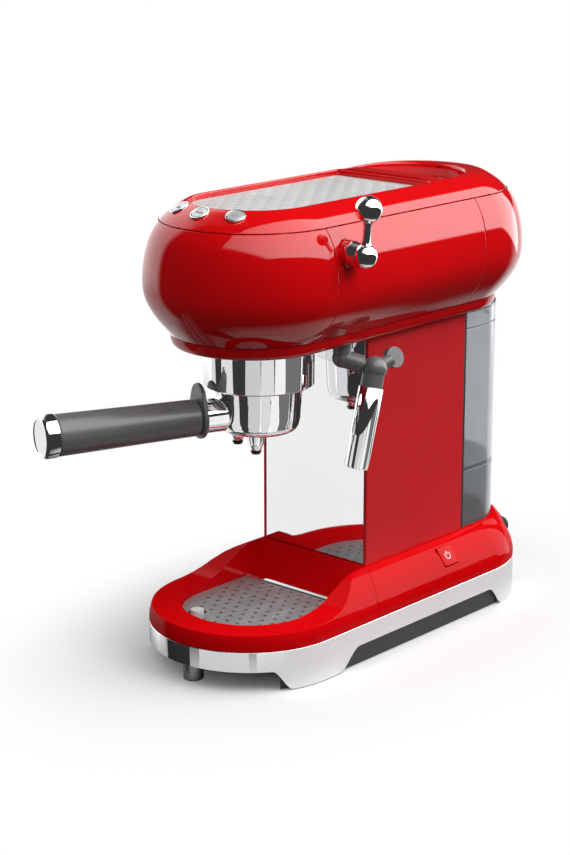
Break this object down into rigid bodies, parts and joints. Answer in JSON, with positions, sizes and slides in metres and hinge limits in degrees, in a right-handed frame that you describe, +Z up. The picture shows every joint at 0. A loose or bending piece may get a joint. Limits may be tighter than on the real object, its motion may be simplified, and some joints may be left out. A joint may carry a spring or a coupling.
{
  "type": "espresso machine",
  "caption": "Retro-style pump espresso machine with a bulging stadium-plan head, portafilter, steam wand, cup warmer, lift-out drip tray and rear water tank.",
  "frame": {"origin": "centre of the stadium-shaped footprint of the base, on the plane the machine stands on", "axes": "+Z up, -Y towards the user (front), +X to the user's right, the side with the steam lever, wand and power switch"},
  "size_m": [0.1695, 0.4012, 0.329],
  "materials": {
    "red_paint": "gloss",
    "red_plastic": "gloss moulded",
    "red_panel": "satin",
    "chrome": "polished",
    "mirror": "mirror polished",
    "steel": "brushed",
    "grey_plastic": "satin moulded",
    "black_plastic": "matt moulded",
    "rubber": "matt",
    "smoked_plastic": "smoked clear plastic",
    "clear_plastic": "frosted clear plastic",
    "button_metal": "satin",
    "white_plastic": "moulded",
    "aluminium": "cast",
    "brass": "machined",
    "circuit_board": "lacquered",
    "silicone": "translucent"
  },
  "bodies": {
    "root": {"chrome_plinth": "chrome", "bottom_pan": "black_plastic", "rubber_feet": "rubber", "front_foot": "grey_plastic", "deck_housing": "red_paint", "column_housing": "red_panel", "mirror_panel": "mirror", "column_frame": "black_plastic", "tank_socket": "rubber", "fill_funnel": "white_plastic", "head_nose_shell": "red_paint", "side_panel_left": "red_paint", "side_panel_right": "red_paint", "head_rear_shell": "red_paint", "head_top_cover": "red_paint", "head_bottom_pan": "red_paint", "cup_warmer_plate": "steel", "button_bezels": "chrome", "button_board": "circuit_board", "group_collar": "chrome", "group_head": "aluminium", "group_gasket": "rubber", "shower_screen": "steel", "lever_socket": "red_paint", "steam_valve": "brass", "wand_mount": "grey_plastic", "thermoblock": "aluminium", "pump": "aluminium", "solenoid_valve": "aluminium", "control_board": "circuit_board", "water_hoses": "silicone", "inner_frame": "steel", "cord_gland": "rubber", "case_screws": "steel"},
    "tray": {"drip_tray": "red_paint"},
    "grille": {"drip_grille": "steel"},
    "float": {"tray_float": "white_plastic"},
    "portafilter": {"filter_basket": "steel", "portafilter_body": "chrome", "spout_body": "chrome", "spout_tips": "black_plastic", "handle_neck": "chrome", "thumb_guard": "grey_plastic", "handle_grip": "grey_plastic", "handle_cap": "chrome"},
    "lever": {"steam_lever": "chrome"},
    "wand_base": {"wand_arm": "grey_plastic"},
    "wand": {"wand_elbow": "grey_plastic", "wand_pipe": "steel"},
    "sleeve": {"frother_sleeve": "chrome"},
    "button_l": {"button_left": "button_metal"},
    "button_m": {"button_middle": "button_metal"},
    "button_r": {"button_right": "button_metal"},
    "switch": {"power_switch": "red_plastic"},
    "tank": {"tank_body": "smoked_plastic", "tank_foot": "smoked_plastic", "tank_lid": "smoked_plastic", "tank_valve": "black_plastic"},
    "flap": {"fill_flap": "clear_plastic"}
  },
  "joints": [
    {"name": "tray_lift", "type": "slide", "parent": "root", "child": "tray", "axis": [0, 0, 1], "range_m": [0, 0.04]},
    {"name": "grille_lift", "type": "slide", "parent": "tray", "child": "grille", "axis": [0, 0, 1], "range_m": [0, 0.03]},
    {"name": "float_rise", "type": "slide", "parent": "tray", "child": "float", "axis": [0, 0, 1], "range_m": [0, 0.008]},
    {"name": "portafilter_turn", "type": "hinge", "parent": "root", "child": "portafilter", "pos_m": [0, -0.086, 0.175], "axis": [0, 0, 1], "range_deg": [-30, 22]},
    {"name": "steam_lever_turn", "type": "hinge", "parent": "root", "child": "lever", "pos_m": [0.085, -0.0775, 0.29], "axis": [1, 0, 0], "range_deg": [0, 80]},
    {"name": "wand_swivel", "type": "hinge", "parent": "root", "child": "wand_base", "pos_m": [0.045, -0.052, 0.212], "axis": [0, 0, 1], "range_deg": [-60, 0]},
    {"name": "wand_tilt", "type": "hinge", "parent": "wand_base", "child": "wand", "pos_m": [0.062, -0.038, 0.205], "axis": [0.7357, 0.6058, -0.3029], "range_deg": [-30, 10]},
    {"name": "sleeve_pull", "type": "slide", "parent": "wand", "child": "sleeve", "axis": [-0.0219, -0.248, -0.9685], "range_m": [0, 0.03]},
    {"name": "button_left_press", "type": "slide", "parent": "root", "child": "button_l", "axis": [0.2113, 0.366, -0.9063], "range_m": [0, 0.0015], "stiffness_N_per_m": 300, "springref_m": -0.0005},
    {"name": "button_middle_press", "type": "slide", "parent": "root", "child": "button_m", "axis": [0, 0.4226, -0.9063], "range_m": [0, 0.0015], "stiffness_N_per_m": 300, "springref_m": -0.0005},
    {"name": "button_right_press", "type": "slide", "parent": "root", "child": "button_r", "axis": [-0.2113, 0.366, -0.9063], "range_m": [0, 0.0015], "stiffness_N_per_m": 300, "springref_m": -0.0005},
    {"name": "power_switch_press", "type": "slide", "parent": "root", "child": "switch", "axis": [-0.788, 0, -0.6157], "range_m": [0, 0.0015], "stiffness_N_per_m": 400, "springref_m": -0.0005},
    {"name": "tank_slide", "type": "slide", "parent": "root", "child": "tank", "axis": [0, 1, 0], "range_m": [0, 0.08]},
    {"name": "flap_hinge", "type": "hinge", "parent": "root", "child": "flap", "pos_m": [0, 0.0626, 0.3088], "axis": [1, 0, 0], "range_deg": [0, 80]}
  ]
}
